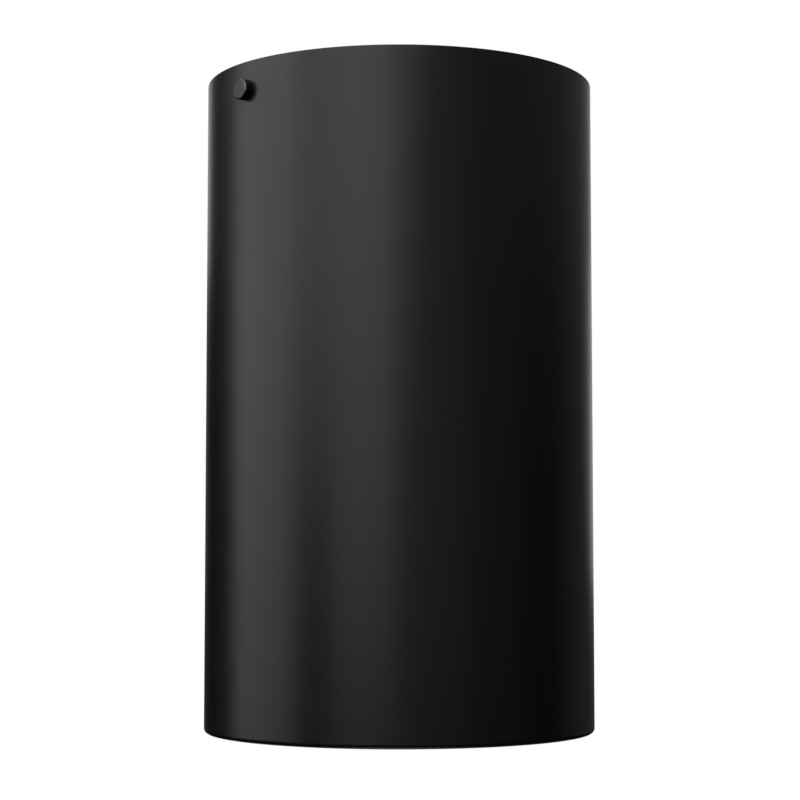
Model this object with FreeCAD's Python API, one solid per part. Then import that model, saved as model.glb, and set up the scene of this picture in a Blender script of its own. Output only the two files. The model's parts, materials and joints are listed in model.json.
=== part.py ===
import FreeCAD, Part
import math
import os

Vector = FreeCAD.Vector

# A ceiling cylinder light. Lengths are in millimetres.
# Z is zero at the ceiling and the light hangs below it, so heights are negative.
# The thumbscrews lie on the X axis, the ceiling slots on the Y axis.

# Outer shade, a straight aluminium tube
shade_radius = 60.0
shade_length = 200.0
shade_wall = 2.0
shade_ceiling_gap = 0.5
shade_lower_edge_radius = 1.2
shade_lower_inner_radius = 0.4
shade_top_edge_radius = 0.25

# Thumbscrews that clamp the shade to the pan, and the clinch nuts that carry them
screw_drop = 8.6
screw_head_radius = 3.1
screw_head_height = 2.4
screw_head_bevel = 0.35
screw_stem_radius = 1.5
screw_tip_chamfer = 0.3
nut_shank_radius = 2.1
nut_body_radius = 3.2
nut_body_height = 2.5
nut_body_chamfer = 0.3

# Ceiling pan, pressed from one sheet
pan_sheet = 1.0
pan_skirt_depth = 18.0
pan_slip_gap = 0.3
pan_upright_bend = 0.6
pan_top_bend = 0.4
pan_pad_depth = 1.8
pan_pad_slope = 1.0
channel_side_gap = 0.9
channel_depth_gap = 1.0

# Slots for the two ceiling screws
slot_width = 4.8
slot_length = 18.0
slot_edge_margin = 8.0

# Supply grommet
grommet_edge_margin = 24.0
grommet_angle = -137.0
grommet_flange_radius = 8.0
grommet_neck_radius = 6.2
grommet_bore_radius = 4.0
grommet_flange_height = 1.3
grommet_nose_height = 3.2
grommet_nose_radius = 5.4
grommet_pad_margin = 1.4

# Strap that carries the lampholder
strap_sheet = 1.2
strap_width = 16.0
strap_span = 44.0
strap_depth = 13.2
strap_foot_length = 15.0
strap_bend = 1.5
strap_foot_corner = 3.0
strap_pad_radius = 6.5
rivet_radius = 1.6
rivet_head_radius = 3.1
rivet_head_height = 0.9
rivet_tail_radius = 2.4
rivet_tail_height = 0.8

# Hollow nipple and its nut
nipple_radius = 5.0
nipple_bore_radius = 3.6
nipple_proud = 0.5
lock_nut_flats = 14.0
lock_nut_height = 2.5

# Lampholder
holder_radius = 20.0
holder_mouth_gap = 0.9
cap_height = 21.0
cap_wall = 2.0
cap_rim_height = 8.0
cap_boss_radius = 9.0
cap_boss_depth = 8.0
cap_crown_radius = 10.5
cap_crown_step = 1.2
insert_drop = 16.8
insert_height = 9.0
insert_edge_radius = 1.0
collar_wall = 1.6
collar_overlap = 6.0
grip_height = 3.4
grip_taper_height = 9.0
skirt_wall = 3.0
skirt_mouth_radius = 0.8
shell_sheet = 0.4
shell_recess = 6.2
shell_lamp_gap = 0.35
shell_skirt_gap = 0.2
push_in_spread = 8.5
push_in_radius = 1.0

# Contact strips and their rivets
contact_sheet = 0.4
contact_width = 6.0
contact_bend = 0.5
contact_outer_reach = 11.0
tongue_root = 3.3
tongue_drop = 2.6
tongue_half = 1.8
tongue_lip_run = 1.2
tongue_lip_rise = 0.8
side_contact_start = 4.2
side_contact_leg = 3.0
contact_rivet_place = 5.9
contact_rivet_radius = 0.9
contact_rivet_depth = 5.0
contact_rivet_head_radius = 1.5
contact_rivet_head_height = 0.8

# Terminal block
block_edge_gap = 3.0
block_angle = -48.0
block_length = 17.0
block_axis_depth = 5.2
pole_pitch = 10.0
pole_count = 3
barrel_radius = 3.8
tower_radius = 3.1
tower_depth = 8.0
tower_inset = 4.0
sleeve_radius = 2.5
sleeve_bore_radius = 1.7
sleeve_inset = 0.8
clamp_screw_radius = 1.4
clamp_screw_recess = 1.0
driver_slot_width = 0.6
driver_slot_depth = 0.7
fixing_screw_radius = 1.25
fixing_hole_gap = 0.15
fixing_head_radius = 2.2
fixing_head_height = 1.6
fixing_seat_depth = 6.0

# Leads
lead_radius = 1.1
lead_pair_gap = 0.6
conductor_radius = 0.6
conductor_length = 6.5
lead_exit_gap = 0.3
live_first_run = 6.5
neutral_first_run = 6.0
earth_first_run = 4.5
lead_lower_turn = 1.6
lead_lower_stop = 0.3
bend_share = 0.45

# Earth fixing on the pan
earth_edge_margin = 16.5
earth_angle = 42.0
earth_pad_radius = 5.6
earth_screw_radius = 2.0
earth_head_radius = 3.6
earth_head_height = 2.4
earth_washer_radius = 4.2
earth_washer_height = 0.8
lug_radius = 4.0
lug_washer_gap = 0.6
lug_sheet = 0.8
lug_barrel_radius = 1.9
lug_barrel_length = 6.5
lug_neck_width = 3.4
earth_turn_gap = 1.0
earth_second_run = 13.0

# Lamp
lamp_cap_radius = 13.1
lamp_cap_length = 27.0
lamp_cap_sheet = 0.4
lamp_crown_height = 4.5
lamp_crown_radius = 10.5
lamp_tip_radius = 4.6
lamp_tip_height = 1.2
lamp_tip_seat_radius = 5.6
lamp_neck_radius = 14.2
lamp_neck_in_cap = 12.0
lamp_globe_radius = 30.0
lamp_globe_centre_drop = 8.05
lamp_housing_length = 41.8
lamp_housing_wall = 1.6
lamp_globe_wall = 1.2
neck_pole_share = 0.42
flare_pole_share = 0.45

# How the pieces fit one another
screw_gap = 0.05
pin_gap = 0.05
seat_gap = 0.05
press_gap = 0.02
contact_gap = 0.1
cut_overrun = 1.0

full_turn = 360.0
hex_sides = 6
flat_share = 0.01
bulge_share = math.sqrt(0.5)

# Sizes worked out from the ones above
shade_top_z = -shade_ceiling_gap
shade_bottom_z = shade_top_z - shade_length
shade_inner_radius = shade_radius - shade_wall
screw_z = shade_top_z - screw_drop
nut_seat_x = math.sqrt(shade_inner_radius**2 - nut_body_radius**2) - press_gap
nut_inner_x = nut_seat_x - nut_body_height
pan_radius = shade_inner_radius - pan_slip_gap
pan_inner_radius = pan_radius - pan_sheet
channel_floor_x = nut_inner_x - channel_depth_gap
channel_half_width = nut_body_radius + channel_side_gap
channel_inner_x = channel_floor_x - pan_sheet
pan_under_z = -pan_sheet
pad_under_z = -pan_pad_depth - pan_sheet
strap_half_span = strap_span / 2
strap_end_x = strap_half_span + strap_sheet + strap_foot_length
strap_foot_x = strap_end_x - strap_foot_length / 2
foot_under_z = pad_under_z - strap_sheet
web_top_z = pad_under_z - strap_depth
web_under_z = web_top_z - strap_sheet
nipple_top_z = web_top_z + lock_nut_height + nipple_proud
nipple_bottom_z = web_under_z - cap_boss_depth
cap_bottom_z = web_under_z - cap_height
insert_top_z = web_under_z - insert_drop
insert_bottom_z = insert_top_z - insert_height
collar_radius = holder_radius - cap_wall - pin_gap
insert_radius = collar_radius - collar_wall - pin_gap
shell_inner_radius = lamp_cap_radius + shell_lamp_gap
shell_outer_radius = shell_inner_radius + shell_sheet
skirt_bore_radius = shell_outer_radius + shell_skirt_gap
skirt_radius = skirt_bore_radius + skirt_wall
ledge_z = insert_bottom_z - shell_sheet
tongue_under_z = insert_bottom_z - tongue_drop - contact_sheet
lamp_top_z = tongue_under_z - contact_gap
lamp_cap_end_z = lamp_top_z - lamp_cap_length
holder_mouth_z = lamp_cap_end_z + holder_mouth_gap
shell_bottom_z = holder_mouth_z + shell_recess
lamp_join_z = lamp_cap_end_z - lamp_housing_length
lamp_join_radius = math.sqrt(lamp_globe_radius**2 - lamp_globe_centre_drop**2)
block_width = (pole_count - 1) * pole_pitch + 2 * barrel_radius
block_reach = math.hypot(block_width, block_length) / 2
block_axis_z = pan_under_z - block_axis_depth
lead_offset = lead_radius + lead_pair_gap / 2


def polar(radius, angle, z=0.0):
    turn = math.radians(angle)
    return Vector(radius * math.cos(turn), radius * math.sin(turn), z)


block_centre = polar(pan_inner_radius - block_edge_gap - block_reach, block_angle)
grommet_centre = polar(pan_inner_radius - grommet_edge_margin, grommet_angle)
earth_centre = polar(pan_inner_radius - earth_edge_margin, earth_angle)
slot_centre_y = pan_inner_radius - slot_edge_margin - slot_length / 2
block_face_y = block_centre.y + block_length / 2
grommet_pad_radius = grommet_flange_radius + grommet_pad_margin


def rod(radius, start, end):
    return Part.makeCylinder(radius, (end - start).Length, start, end - start)


def upright(radius, top_z, bottom_z, x=0.0, y=0.0):
    return Part.makeCylinder(radius, top_z - bottom_z, Vector(x, y, bottom_z))


def drilled(shape, radius, top_z, bottom_z, x=0.0, y=0.0):
    """Cuts an upright hole that runs a little past both heights."""
    return shape.cut(upright(radius, top_z + cut_overrun, bottom_z - cut_overrun, x, y))


def box(low, high):
    size = high - low
    return Part.makeBox(size.x, size.y, size.z, low)


def edges_where(shape, test):
    return [edge for edge in shape.Edges if test(edge.BoundBox)]


def level_edges(shape, z):
    """Edges that lie wholly at one height."""
    close = pan_sheet * flat_share
    return edges_where(shape, lambda b: abs(b.ZMin - z) < close and abs(b.ZMax - z) < close)


def turned(start, *steps):
    """A shape turned round Z. A step is a point, or a middle and an end point of an arc."""
    edges = []
    here = Vector(start[0], 0, start[1])
    first = here
    for step in steps:
        if isinstance(step[0], tuple):
            middle = Vector(step[0][0], 0, step[0][1])
            end = Vector(step[1][0], 0, step[1][1])
            edges.append(Part.Arc(here, middle, end).toShape())
        else:
            end = Vector(step[0], 0, step[1])
            edges.append(Part.LineSegment(here, end).toShape())
        here = end
    edges.append(Part.LineSegment(here, first).toShape())
    face = Part.Face(Part.Wire(edges))
    return face.revolve(Vector(0, 0, 0), Vector(0, 0, 1), full_turn)


def rounded_run(points, radii):
    """Straight runs joined by tangent arcs, one radius for each inner point."""
    edges = []
    here = points[0]
    for before, corner, after, radius in zip(points, points[1:], points[2:], radii):
        back = (before - corner).normalize()
        ahead = (after - corner).normalize()
        half = back.getAngle(ahead) / 2
        reach = radius / math.tan(half)
        enter = corner + back * reach
        leave = corner + ahead * reach
        inward = (back + ahead).normalize()
        middle = corner + inward * (radius / math.sin(half) - radius)
        edges.append(Part.LineSegment(here, enter).toShape())
        edges.append(Part.Arc(enter, middle, leave).toShape())
        here = leave
    edges.append(Part.LineSegment(here, points[-1]).toShape())
    return edges


def bent_strip(path, sheet, bend, width, across):
    """A strip bent from sheet. The path is its left face, as (run, z) pairs, and it turns at each point."""
    directions = []
    for here, there in zip(path, path[1:]):
        length = math.hypot(there[0] - here[0], there[1] - here[1])
        directions.append(((there[0] - here[0]) / length, (there[1] - here[1]) / length))
    far = [(path[0][0] + directions[0][1] * sheet, path[0][1] - directions[0][0] * sheet)]
    left_radii = []
    right_radii = []
    for corner, (ax, az), (bx, bz) in zip(path[1:], directions, directions[1:]):
        turn = math.atan2(ax * bz - az * bx, ax * bx + az * bz)
        slide = sheet * math.tan(turn / 2)
        far.append((corner[0] + az * sheet + ax * slide, corner[1] - ax * sheet + az * slide))
        left_radii.append(bend if turn > 0 else bend + sheet)
        right_radii.append(bend + sheet if turn > 0 else bend)
    last = directions[-1]
    far.append((path[-1][0] + last[1] * sheet, path[-1][1] - last[0] * sheet))

    sideways = across * (width / 2)
    along = Vector(0, 0, 1).cross(across) * -1

    def place(point):
        return along * point[0] + Vector(0, 0, point[1]) - sideways

    near_points = [place(point) for point in path]
    far_points = [place(point) for point in reversed(far)]
    edges = rounded_run(near_points, left_radii)
    edges.append(Part.LineSegment(near_points[-1], far_points[0]).toShape())
    edges += rounded_run(far_points, list(reversed(right_radii)))
    edges.append(Part.LineSegment(far_points[-1], near_points[0]).toShape())
    return Part.Face(Part.Wire(edges)).extrude(across * width)


def make_outer_shade():
    shade = turned(
        (shade_inner_radius, shade_top_z),
        (shade_radius, shade_top_z),
        (shade_radius, shade_bottom_z),
        (shade_inner_radius, shade_bottom_z),
    )
    rims = [
        (shade_bottom_z, shade_radius, shade_lower_edge_radius),
        (shade_bottom_z, shade_inner_radius, shade_lower_inner_radius),
        (shade_top_z, shade_radius, shade_top_edge_radius),
    ]
    for z, radius, round_radius in rims:
        close = shade_wall / 2
        rim = [edge for edge in level_edges(shade, z) if abs(edge.BoundBox.XMax - radius) < close]
        shade = shade.makeFillet(round_radius, rim)
    for side in (-1, 1):
        start = Vector(side * (shade_inner_radius - cut_overrun), 0, screw_z)
        end = Vector(side * (shade_radius + cut_overrun), 0, screw_z)
        shade = shade.cut(rod(nut_shank_radius + press_gap, start, end))
    return shade


def make_clinch_nut(side):
    """A nut clinched into the shade's wall: a shank in the wall and a round body behind it."""
    seat = Vector(side * nut_seat_x, 0, screw_z)
    inner = Vector(side * nut_inner_x, 0, screw_z)
    outer = Vector(side * shade_radius, 0, screw_z)
    body = rod(nut_body_radius, inner, seat)
    rim = edges_where(body, lambda b: abs(b.XMin - inner.x) < press_gap and abs(b.XMax - inner.x) < press_gap)
    body = body.makeChamfer(nut_body_chamfer, rim)
    shank = rod(nut_shank_radius, inner, outer)
    inside = upright(shade_radius - shade_top_edge_radius, shade_top_z, shade_bottom_z)
    bore = rod(
        screw_stem_radius + screw_gap,
        inner - Vector(side * cut_overrun, 0, 0),
        outer + Vector(side * cut_overrun, 0, 0),
    )
    return body.fuse(shank).common(inside).cut(bore)


def make_thumbscrew(side):
    """A screw with a plain round head that stands on the shade's wall."""
    tip = Vector(side * (channel_floor_x + seat_gap), 0, screw_z)
    under_head = Vector(side * (shade_radius + seat_gap), 0, screw_z)
    face = under_head + Vector(side * screw_head_height, 0, 0)
    stem = rod(screw_stem_radius, tip, under_head)
    point = edges_where(stem, lambda b: abs(b.XMin - tip.x) < press_gap and abs(b.XMax - tip.x) < press_gap)
    stem = stem.makeChamfer(screw_tip_chamfer, point)
    head = rod(screw_head_radius, under_head, face)
    rim = edges_where(head, lambda b: abs(b.XMin - face.x) < press_gap and abs(b.XMax - face.x) < press_gap)
    head = head.makeChamfer(screw_head_bevel, rim)
    return stem.fuse(head).removeSplitter()


def pressed_pads():
    """Centre and floor radius of each pad pressed down from the pan."""
    return [
        (Vector(-strap_foot_x, 0, 0), strap_pad_radius),
        (Vector(strap_foot_x, 0, 0), strap_pad_radius),
        (earth_centre, earth_pad_radius),
        (grommet_centre, grommet_pad_radius),
    ]


def pan_skin(inset, bottom_z):
    """The pan's outside, or with an inset of one sheet the hollow under it."""
    skin = upright(pan_radius - inset, -inset, bottom_z)
    half = channel_half_width + inset
    floor = channel_floor_x - inset
    mouth = math.sqrt((pan_radius - inset) ** 2 - half**2)
    for side in (-1, 1):
        ends = sorted((side * floor, side * (pan_radius + cut_overrun)))
        low = Vector(ends[0], -half, bottom_z - cut_overrun)
        skin = skin.cut(box(low, Vector(ends[1], half, cut_overrun)))

    def upright_edges_at(x):
        close = pan_sheet * flat_share

        def at_corner(b):
            upright_edge = max(b.XLength, b.YLength) < close
            return upright_edge and abs(abs(b.XMin) - x) < close and abs(abs(b.YMin) - half) < close

        return edges_where(skin, at_corner)

    skin = skin.makeFillet(pan_upright_bend + inset, upright_edges_at(floor))
    skin = skin.makeFillet(pan_upright_bend + pan_sheet - inset, upright_edges_at(mouth))
    skin = skin.makeFillet(pan_top_bend + pan_sheet - inset, level_edges(skin, -inset))
    for centre, radius in pressed_pads():
        base = centre - Vector(0, 0, pan_pad_depth + inset)
        skin = skin.cut(Part.makeCone(radius + inset, radius + inset + pan_pad_slope, pan_pad_depth, base))
    return skin


def ceiling_slot(side):
    half = slot_length / 2 - slot_width / 2
    y = side * slot_centre_y
    top = cut_overrun
    bottom = pan_under_z - cut_overrun
    ends = [upright(slot_width / 2, top, bottom, y=y + end * half) for end in (-1, 1)]
    middle = box(Vector(-slot_width / 2, y - half, bottom), Vector(slot_width / 2, y + half, top))
    return ends[0].fuse(ends[1]).fuse(middle)


def block_fixing_centre():
    return block_centre + Vector(pole_pitch / 2, 0, 0)


def make_ceiling_pan():
    pan = pan_skin(0.0, -pan_skirt_depth)
    pan = pan.cut(pan_skin(pan_sheet, -pan_skirt_depth - cut_overrun))
    holes = [
        (Vector(-strap_foot_x, 0, 0), rivet_radius + pin_gap),
        (Vector(strap_foot_x, 0, 0), rivet_radius + pin_gap),
        (earth_centre, earth_screw_radius + pin_gap),
        (grommet_centre, grommet_neck_radius),
        (block_fixing_centre(), fixing_screw_radius + pin_gap),
    ]
    for centre, radius in holes:
        pan = drilled(pan, radius, 0, pad_under_z, centre.x, centre.y)
    for side in (-1, 1):
        pan = pan.cut(ceiling_slot(side))
    return pan


def make_supply_grommet():
    """A rubber ring with a groove for the pan's sheet and a nose below it."""
    groove_top = -pan_pad_depth
    flange_top = groove_top + grommet_flange_height
    lower_flange = pad_under_z - grommet_flange_height
    nose = lower_flange - grommet_nose_height
    ring = turned(
        (grommet_bore_radius, flange_top),
        (grommet_flange_radius, flange_top),
        (grommet_flange_radius, groove_top),
        (grommet_neck_radius, groove_top),
        (grommet_neck_radius, pad_under_z),
        (grommet_flange_radius, pad_under_z),
        (grommet_flange_radius, lower_flange),
        (grommet_nose_radius, nose),
        (grommet_bore_radius, nose),
    )
    ring.translate(grommet_centre)
    return ring


def make_lampholder_strap():
    path = [
        (-strap_end_x, pad_under_z),
        (-strap_half_span, pad_under_z),
        (-strap_half_span, web_top_z),
        (strap_half_span, web_top_z),
        (strap_half_span, pad_under_z),
        (strap_end_x, pad_under_z),
    ]
    strap = bent_strip(path, strap_sheet, strap_bend, strap_width, Vector(0, 1, 0))
    close = strap_sheet / 2

    def at_foot_corner(b):
        return b.ZLength > close and max(b.XLength, b.YLength) < close and abs(b.XMin) > strap_end_x - close

    strap = strap.makeFillet(strap_foot_corner, edges_where(strap, at_foot_corner))
    for side in (-1, 1):
        strap = drilled(strap, rivet_radius + pin_gap, pad_under_z, foot_under_z, side * strap_foot_x)
    return drilled(strap, nipple_radius + pin_gap, web_top_z, web_under_z)


def make_strap_rivet(side):
    x = side * strap_foot_x
    tail_z = -pan_pad_depth
    shank = upright(rivet_radius, tail_z + rivet_tail_height, foot_under_z - rivet_head_height, x)
    tail = upright(rivet_tail_radius, tail_z + rivet_tail_height, tail_z, x)
    head_base = Vector(x, 0, foot_under_z - rivet_head_height)
    head = Part.makeCone(rivet_radius, rivet_head_radius, rivet_head_height, head_base)
    return shank.fuse(tail).fuse(head)


def make_nipple():
    nipple = upright(nipple_radius, nipple_top_z, nipple_bottom_z)
    return drilled(nipple, nipple_bore_radius, nipple_top_z, nipple_bottom_z)


def make_lock_nut():
    reach = lock_nut_flats / 2 / math.cos(math.pi / hex_sides)
    corners = [polar(reach, full_turn * i / hex_sides, web_top_z) for i in range(hex_sides + 1)]
    hexagon = Part.Face(Part.makePolygon(corners)).extrude(Vector(0, 0, lock_nut_height))
    top_z = web_top_z + lock_nut_height
    crown = upright(reach, top_z, web_top_z)
    crown = crown.makeChamfer(reach - lock_nut_flats / 2, level_edges(crown, top_z))
    return drilled(hexagon.common(crown), nipple_radius + pin_gap, top_z, web_top_z)


def make_holder_cap():
    """A domed cap with a thick threaded boss at the top."""
    rim_top = cap_bottom_z + cap_rim_height
    step_z = web_under_z - cap_crown_step
    boss_z = web_under_z - cap_boss_depth
    dome_height = step_z - rim_top
    dome_reach = holder_radius - cap_crown_radius
    outer_middle = (cap_crown_radius + dome_reach * bulge_share, rim_top + dome_height * bulge_share)
    inner_radius = holder_radius - cap_wall
    inner_reach = inner_radius - cap_boss_radius
    inner_height = boss_z - rim_top
    inner_middle = (cap_boss_radius + inner_reach * bulge_share, rim_top + inner_height * bulge_share)
    return turned(
        (nipple_radius + pin_gap, web_under_z),
        (cap_crown_radius, web_under_z),
        (cap_crown_radius, step_z),
        (outer_middle, (holder_radius, rim_top)),
        (holder_radius, cap_bottom_z),
        (inner_radius, cap_bottom_z),
        (inner_radius, rim_top),
        (inner_middle, (cap_boss_radius, boss_z)),
        (nipple_radius + pin_gap, boss_z),
    )


def make_holder_skirt():
    """The lampholder's outer body: a collar inside the cap, a grip band and a straight sleeve."""
    collar_top = cap_bottom_z + collar_overlap
    seat_radius = collar_radius - collar_wall
    grip_bottom = cap_bottom_z - grip_height
    taper_bottom = grip_bottom - grip_taper_height
    sleeve = turned(
        (seat_radius, collar_top),
        (collar_radius, collar_top),
        (collar_radius, cap_bottom_z - seat_gap),
        (holder_radius, cap_bottom_z - seat_gap),
        (holder_radius, grip_bottom),
        (skirt_radius, taper_bottom),
        (skirt_radius, holder_mouth_z),
        (skirt_bore_radius, holder_mouth_z),
        (skirt_bore_radius, ledge_z),
        (seat_radius, ledge_z),
    )
    close = skirt_wall / 2
    mouth = level_edges(sleeve, holder_mouth_z)
    outer = [edge for edge in mouth if abs(edge.BoundBox.XMax - skirt_radius) < close]
    return sleeve.makeFillet(skirt_mouth_radius, outer)


def make_holder_insert():
    insert = upright(insert_radius, insert_top_z, insert_bottom_z)
    insert = insert.makeFillet(insert_edge_radius, level_edges(insert, insert_top_z))
    for side in (-1, 1):
        insert = drilled(insert, push_in_radius, insert_top_z, insert_bottom_z, y=side * push_in_spread)
        rivet_top = insert_bottom_z + contact_rivet_depth
        rivet_y = side * contact_rivet_place
        insert = insert.cut(upright(contact_rivet_radius + pin_gap, rivet_top, insert_bottom_z, y=rivet_y))
    return insert


def make_screw_shell():
    """The thin shell that takes the lamp's cap, with a flange held between insert and ledge."""
    return turned(
        (shell_inner_radius, insert_bottom_z),
        (insert_radius, insert_bottom_z),
        (insert_radius, ledge_z),
        (shell_outer_radius, ledge_z),
        (shell_outer_radius, shell_bottom_z),
        (shell_inner_radius, shell_bottom_z),
    )


def with_rivet_hole(strip, y):
    under_z = insert_bottom_z - contact_sheet
    return drilled(strip, contact_rivet_radius + pin_gap, insert_bottom_z, under_z, y=y)


def make_centre_contact():
    """A springy tongue that presses on the lamp's tip."""
    tongue_z = insert_bottom_z - tongue_drop
    path = [
        (-contact_outer_reach, insert_bottom_z),
        (-tongue_root, insert_bottom_z),
        (-tongue_half, tongue_z),
        (tongue_half, tongue_z),
        (tongue_half + tongue_lip_run, tongue_z + tongue_lip_rise),
    ]
    strip = bent_strip(path, contact_sheet, contact_bend, contact_width, Vector(-1, 0, 0))
    return with_rivet_hole(strip, -contact_rivet_place)


def make_side_contact():
    """A strip that joins the neutral lead to the screw shell's inner wall."""
    outer_y = math.sqrt(shell_inner_radius**2 - (contact_width / 2) ** 2) - seat_gap - contact_sheet
    path = [
        (side_contact_start, insert_bottom_z),
        (outer_y + contact_sheet, insert_bottom_z),
        (outer_y + contact_sheet, insert_bottom_z - side_contact_leg),
    ]
    strip = bent_strip(path, contact_sheet, contact_bend, contact_width, Vector(-1, 0, 0))
    return with_rivet_hole(strip, contact_rivet_place)


def make_contact_rivet(side):
    y = side * contact_rivet_place
    seat_z = insert_bottom_z - contact_sheet
    shank = upright(contact_rivet_radius, insert_bottom_z + contact_rivet_depth, seat_z, y=y)
    head = upright(contact_rivet_head_radius, seat_z, seat_z - contact_rivet_head_height, y=y)
    return shank.fuse(head)


def pole_x(index):
    return block_centre.x + (index - (pole_count - 1) / 2) * pole_pitch


def pole_rod(index, radius, half_length):
    x = pole_x(index)
    start = Vector(x, block_centre.y - half_length, block_axis_z)
    return rod(radius, start, Vector(x, block_centre.y + half_length, block_axis_z))


def tower_places():
    reach = block_length / 2 - tower_inset
    return [
        (pole_x(index), block_centre.y + side * reach)
        for index in range(pole_count)
        for side in (-1, 1)
    ]


def make_terminal_block():
    """Barrels side by side on a flat base, each with two screw towers."""
    half_width = block_width / 2
    half_length = block_length / 2
    low = block_centre + Vector(-half_width, -half_length, block_axis_z)
    block = box(low, block_centre + Vector(half_width, half_length, pan_under_z))
    tower_end = block_axis_z - tower_depth
    for index in range(pole_count):
        block = block.fuse(pole_rod(index, barrel_radius, half_length))
    for x, y in tower_places():
        block = block.fuse(upright(tower_radius, block_axis_z, tower_end, x, y))
    block = block.removeSplitter()
    for index in range(pole_count):
        block = block.cut(pole_rod(index, sleeve_radius + pin_gap, half_length + cut_overrun))
    for x, y in tower_places():
        block = drilled(block, clamp_screw_radius + pin_gap, block_axis_z, tower_end, x, y)
    fixing = block_fixing_centre()
    block = drilled(block, fixing_screw_radius + fixing_hole_gap, pan_under_z, tower_end, fixing.x, fixing.y)
    seat_z = pan_under_z - fixing_seat_depth
    recess = upright(fixing_head_radius + fixing_hole_gap, seat_z, tower_end, fixing.x, fixing.y)
    return block.cut(recess)


def make_terminal_sleeve(index):
    half = block_length / 2 - sleeve_inset
    sleeve = pole_rod(index, sleeve_radius, half)
    sleeve = sleeve.cut(pole_rod(index, sleeve_bore_radius, half + cut_overrun))
    for x, y in tower_places():
        sleeve = drilled(sleeve, clamp_screw_radius + pin_gap, block_axis_z, block_axis_z - tower_depth, x, y)
    return sleeve


def driver_slot(x, y, face_z, head_radius):
    """The slot across a screw head that faces down."""
    half = driver_slot_width / 2
    reach = head_radius + cut_overrun
    low = Vector(x - half, y - reach, face_z - cut_overrun)
    return box(low, Vector(x + half, y + reach, face_z + driver_slot_depth))


def make_clamp_screw(x, y):
    top = block_axis_z - conductor_radius - seat_gap
    bottom = block_axis_z - tower_depth + clamp_screw_recess
    screw = upright(clamp_screw_radius, top, bottom, x, y)
    return screw.cut(driver_slot(x, y, bottom, clamp_screw_radius))


def make_fixing_screw():
    x = block_fixing_centre().x
    y = block_fixing_centre().y
    seat_z = pan_under_z - fixing_seat_depth
    face_z = seat_z - fixing_head_height
    stem = upright(fixing_screw_radius, -seat_gap, seat_z, x, y)
    head = upright(fixing_head_radius, seat_z, face_z, x, y)
    head = head.makeFillet(fixing_head_height / 2, level_edges(head, face_z))
    return stem.fuse(head).cut(driver_slot(x, y, face_z, fixing_head_radius))


def make_lead(name, points):
    """A held lead: straight runs joined by arcs as large as its runs allow."""
    radii = []
    for before, corner, after in zip(points, points[1:], points[2:]):
        turn = math.pi - (before - corner).getAngle(after - corner)
        shorter = min((before - corner).Length, (after - corner).Length)
        radii.append(bend_share * shorter / math.tan(turn / 2))
    path = Part.Wire(rounded_run(points, radii))
    section = Part.Wire(Part.Circle(points[0], points[1] - points[0], lead_radius).toShape())
    lead = path.makePipeShell([section], True, False)
    expected = math.pi * lead_radius**2 * path.Length
    rounded = ", ".join("%.1f" % radius for radius in radii)
    share = lead.Volume / expected
    print("%s: length %.1f, bend radii %s, volume share %.4f" % (name, path.Length, rounded, share))
    return lead


def holder_lead_points(index, first_run, side):
    """From a pole of the terminal block, through the nipple, to the insert's push-in hole."""
    x = pole_x(index)
    start = Vector(x, block_face_y + lead_exit_gap, block_axis_z)
    lower_z = nipple_bottom_z - lead_lower_turn
    end_z = insert_top_z + lead_lower_stop
    return [
        start,
        start + Vector(0, first_run, 0),
        Vector(0, side * lead_offset, block_axis_z),
        Vector(0, side * lead_offset, lower_z),
        Vector(0, side * push_in_spread, (lower_z + end_z) / 2),
        Vector(0, side * push_in_spread, end_z),
    ]


def earth_turn():
    """Where the earth lead turns in towards its lug, between the strap's end and the pan's channel."""
    return Vector((strap_end_x + channel_inner_x) / 2, strap_width / 2 + earth_turn_gap, 0)


def lug_direction():
    return (earth_turn() - earth_centre).normalize()


def lug_barrel_start():
    barrel_z = pad_under_z - lug_barrel_radius - seat_gap
    return earth_centre + lug_direction() * (earth_washer_radius + lug_washer_gap) + Vector(0, 0, barrel_z)


def lug_barrel_end():
    return lug_barrel_start() + lug_direction() * lug_barrel_length


def earth_lead_points():
    x = pole_x(pole_count - 1)
    start = Vector(x, block_face_y + lead_exit_gap, block_axis_z)
    end = lug_barrel_end() + lug_direction() * lead_exit_gap
    turn_in = earth_turn() + Vector(0, 0, end.z)
    return [
        start,
        start + Vector(0, earth_first_run, 0),
        Vector(turn_in.x, turn_in.y - earth_second_run, start.z),
        turn_in,
        end,
    ]


def make_conductor_ends(live, neutral, earth):
    """The bare wire at each end of the three leads."""
    ends = []
    for points in (live, neutral, earth):
        ends.append(rod(conductor_radius, points[0], points[0] - Vector(0, conductor_length, 0)))
    floor = Vector(0, 0, insert_bottom_z + seat_gap - insert_top_z - lead_lower_stop)
    for points in (live, neutral):
        ends.append(rod(conductor_radius, points[-1], points[-1] + floor))
    ends.append(rod(conductor_radius, earth[-1], lug_barrel_start()))
    return ends


def make_earth_lug():
    """A ring under the screw and a barrel crimped on the lead."""
    top = pad_under_z
    ring = upright(lug_radius, top, top - lug_sheet, earth_centre.x, earth_centre.y)
    start = lug_barrel_start()
    reach = (start - earth_centre).dot(lug_direction()) + lug_sheet
    neck = box(Vector(0, -lug_neck_width / 2, top - lug_sheet), Vector(reach, lug_neck_width / 2, top))
    heading = math.degrees(math.atan2(lug_direction().y, lug_direction().x))
    neck.rotate(Vector(0, 0, 0), Vector(0, 0, 1), heading)
    neck.translate(earth_centre)
    barrel = rod(lug_barrel_radius, start, lug_barrel_end())
    lug = ring.fuse(neck).fuse(barrel)
    beyond = lug_direction() * cut_overrun
    lug = lug.cut(rod(conductor_radius + press_gap, start - beyond, lug_barrel_end() + beyond))
    return drilled(lug, earth_screw_radius + pin_gap, top, top - lug_sheet, earth_centre.x, earth_centre.y)


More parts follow.
